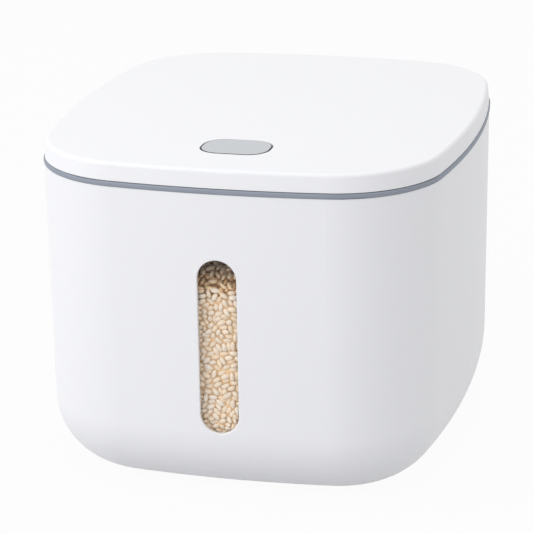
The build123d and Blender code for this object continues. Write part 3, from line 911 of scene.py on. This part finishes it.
class RICE_OT_top_rice(bpy.types.Operator):
    """Lays the top grains over the bed, and makes the bed under them"""

    bl_idname = "rice.top_rice"
    bl_label = "Rice bed"

    def execute(self, context):
        fill = context.scene.rice_fill
        draws = np.random.default_rng(fill.seed + 1)
        look = bpy.data.materials["rice_grains"]
        self.bed(fill, look)
        self.grains(fill, draws, look)
        return {"FINISHED"}

    def bed(self, fill, look):
        """The mass under the top grains: rings that follow the round base and the walls."""
        inner = BASE_RADIUS - WALL - BED_GAP
        edge = WALL + BED_GAP
        top = fill.level - BED_DROP
        rings = []
        for step in range(BED_ROUND_STEPS + 1):
            angle = step / BED_ROUND_STEPS * pi / 2
            inset, height = edge + inner * (1 - sin(angle)), edge + inner * (1 - cos(angle))
            rings.append(plan_ring(inset, height, BED_POINTS))
        rim = plan_ring(edge, top, BED_POINTS)
        rings.append(rim)
        for share in BED_SHARES:
            ring = rim * (share, share, 1)
            ring[:, 2] += mound(ring, fill)
            rings.append(ring)
        peak = top + mound(np.zeros((1, 2)), fill)[0]
        points = np.vstack([*rings, [[0, 0, peak]], [[0, 0, edge]]])
        points[:, 1] = np.maximum(points[:, 1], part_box("window_pane")[1].y + BED_BEHIND_PANE)
        last = (len(rings) - 1) * BED_POINTS
        faces = []
        for i in range(BED_POINTS):
            j = (i + 1) % BED_POINTS
            for ring in range(0, last, BED_POINTS):
                faces.append([ring + i, ring + j, ring + BED_POINTS + j, ring + BED_POINTS + i])
            faces.append([last + i, last + j, len(points) - 2])
            faces.append([j, i, len(points) - 1])
        tone = np.zeros(len(points))
        # painted shade: the whole bed carries one high shade value, so the gaps between grains show amber
        rice_piece("rice_bed", points, faces, tone, tone + BED_SHADE, False, look)

    def grains(self, fill, draws, look):
        """The top layers, settled flat and then lifted onto the heap, in bands across the bucket."""
        inset = WALL + fill.width / 2
        flat = draws.uniform((-HALF_WIDTH, -HALF_DEPTH), (HALF_WIDTH, HALF_DEPTH), (TOP_DRAWS, 2))
        flat = flat[outside_by(flat) < -inset]
        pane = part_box("window_pane")[1].y
        at_window = (np.abs(flat[:, 0]) < WINDOW_REACH) & (flat[:, 1] < pane + TOP_BEHIND_PANE)
        flat = flat[~at_window]
        count = len(flat)
        floor = fill.level - TOP_DROP
        places = np.column_stack([flat, draws.uniform(floor, floor + TOP_START_DEPTH, count)])
        ways = unit(draws.normal(size=(count, 3)) * TOP_WAYS)
        half = fill.width * TOP_HALF

        def keep_in(balls):
            sunk = np.maximum(0, floor + half - balls[..., 2]).max(1)
            raised = np.maximum(0, balls[..., 2] - floor - TOP_DEPTH).max(1)
            fix = np.zeros((len(balls), 3))
            fix[:, 2] = sunk - raised - SINK
            over = np.maximum(0, outside_by(balls.mean(1)) + inset + TOP_MARGIN)
            inward = -balls.mean(1)[:, :2]
            inward /= np.linalg.norm(inward, axis=1)[:, None] + TINY
            fix[:, :2] = inward * over[:, None]
            return fix

        places, ways = push_apart(places, ways, fill, TOP_ROUNDS, keep_in, order_axis=1, lean=TOP_LEAN)
        # painted shade: grains low under the level and near the pane are painted more amber
        shade = TOP_SHADE + (fill.level - places[:, 2]) / TOP_SHADE_DEPTH
        shade += FRONT_SHADE * np.exp((pane - places[:, 1]) / FRONT_SHADE_REACH)
        shade = np.clip(shade, 0, TOP_SHADE_MOST)
        near = ways * fill.width
        ways[:, 2] += (mound(places + near, fill) - mound(places - near, fill)) / (2 * fill.width)
        ways = unit(ways)
        places[:, 2] += mound(places, fill)
        shape = grain_shape(fill, segments=6, rings=5)
        bands = np.array_split(np.argsort(places[:, 1]), TOP_BANDS)
        for number, band in enumerate(bands, 1):
            spread_grains(
                f"rice_top_{number}", shape, places[band], ways[band], draws, shade[band], look)


class RICE_OT_studio(bpy.types.Operator):
    """Sets the floor, the even light, the lamps and the camera"""

    bl_idname = "rice.studio"
    bl_label = "Studio"

    def execute(self, context):
        studio = context.scene.studio_look
        context.scene.view_settings.view_transform = "Standard"
        middle = Vector((0, 0, studio.middle))
        self.floor()
        self.world(context, studio)
        for name, (place, width) in LAMPS.items():
            self.lamp(context, name, Vector(place), middle, width, getattr(studio, name))
        self.camera(context, studio, middle)
        return {"FINISHED"}

    def floor(self):
        """Pale floor that the camera sees as white, with a faint shadow."""
        deselect()
        bpy.ops.mesh.primitive_plane_add(size=FLOOR_SIZE)
        floor = bpy.context.object
        floor.name = "studio_floor"
        look = new_look("studio_floor")
        matte = look.signal("ShaderNodeBsdfDiffuse", None, {"Color": FLOOR_GREY})
        white = look.signal("ShaderNodeEmission", None, {"Color": WHITE, "Strength": 1.0})
        floor.data.materials.append(look.finish(look.blend(look.seen() * FLOOR_WHITENESS, matte, white)))

    def world(self, context, studio):
        """Even light, which the camera sees as white as the floor, in reflections too."""
        look = Look(bpy.data.worlds.new("studio"), "ShaderNodeOutputWorld")
        even = look.signal("ShaderNodeBackground", None, {"Strength": studio.fill})
        white = look.signal("ShaderNodeBackground", None, {"Color": BACKDROP_WHITE})
        context.scene.world = look.finish(look.blend(look.seen(), even, white))

    def lamp(self, context, name, place, aim, width, power):
        """A large soft square lamp that points at the object."""
        light = bpy.data.lights.new(name, "AREA")
        light.shape = "SQUARE"
        light.size = width
        light.energy = power
        lamp = bpy.data.objects.new(name, light)
        context.scene.collection.objects.link(lamp)
        lamp.location = place
        lamp.rotation_euler = (aim - place).to_track_quat("-Z", "Y").to_euler()

    def camera(self, context, studio, middle):
        """Camera at the photograph's viewing angle."""
        turn, rise = studio.azimuth, studio.elevation
        back = Vector((sin(turn) * cos(rise), -cos(turn) * cos(rise), sin(rise)))
        right = (-back).cross(UPRIGHT).normalized()
        up = right.cross(-back)
        ahead = (-back + right * studio.pan + up * studio.tilt).normalized()
        right = ahead.cross(UPRIGHT).normalized()
        up = right.cross(ahead)
        roll = studio.roll
        right, up = right * cos(roll) + up * sin(roll), up * cos(roll) - right * sin(roll)
        data = bpy.data.cameras.new("camera")
        data.sensor_width = SENSOR
        data.lens = studio.focus_pixels * SENSOR / FRAME_PIXELS
        camera = bpy.data.objects.new("camera", data)
        context.scene.collection.objects.link(camera)
        axes = Matrix((right, up, -ahead)).transposed()
        camera.matrix_world = Matrix.Translation(middle + back * studio.distance) @ axes.to_4x4()
        context.scene.camera = camera


class RICE_PT_panel(bpy.types.Panel):
    """Lists the steps"""

    bl_label = "Rice bucket"
    bl_space_type = "VIEW_3D"
    bl_region_type = "UI"
    bl_category = "Rice bucket"

    def draw(self, context):
        for step in STEPS:
            self.layout.operator(step.bl_idname)


GROUPS = {"bucket_finish": BucketFinish, "rice_fill": RiceFill, "studio_look": StudioLook}
STEPS = (
    RICE_OT_shells, RICE_OT_seal, RICE_OT_pane, RICE_OT_latch, RICE_OT_hardware,
    RICE_OT_window_rice, RICE_OT_top_rice, RICE_OT_studio)


def register():
    for kind in (*GROUPS.values(), *STEPS, RICE_PT_panel):
        bpy.utils.register_class(kind)
    for name, kind in GROUPS.items():
        setattr(bpy.types.Scene, name, PointerProperty(type=kind))


def unregister():
    for name in GROUPS:
        delattr(bpy.types.Scene, name)
    for kind in (RICE_PT_panel, *reversed(STEPS), *GROUPS.values()):
        bpy.utils.unregister_class(kind)


def main():
    register()
    bpy.ops.rice.shells()
    bpy.ops.rice.seal()
    bpy.ops.rice.pane()
    bpy.ops.rice.latch()
    bpy.ops.rice.hardware()
    bpy.ops.rice.window_rice()
    bpy.ops.rice.top_rice()
    bpy.ops.rice.studio()


if __name__ == "__main__":
    main()
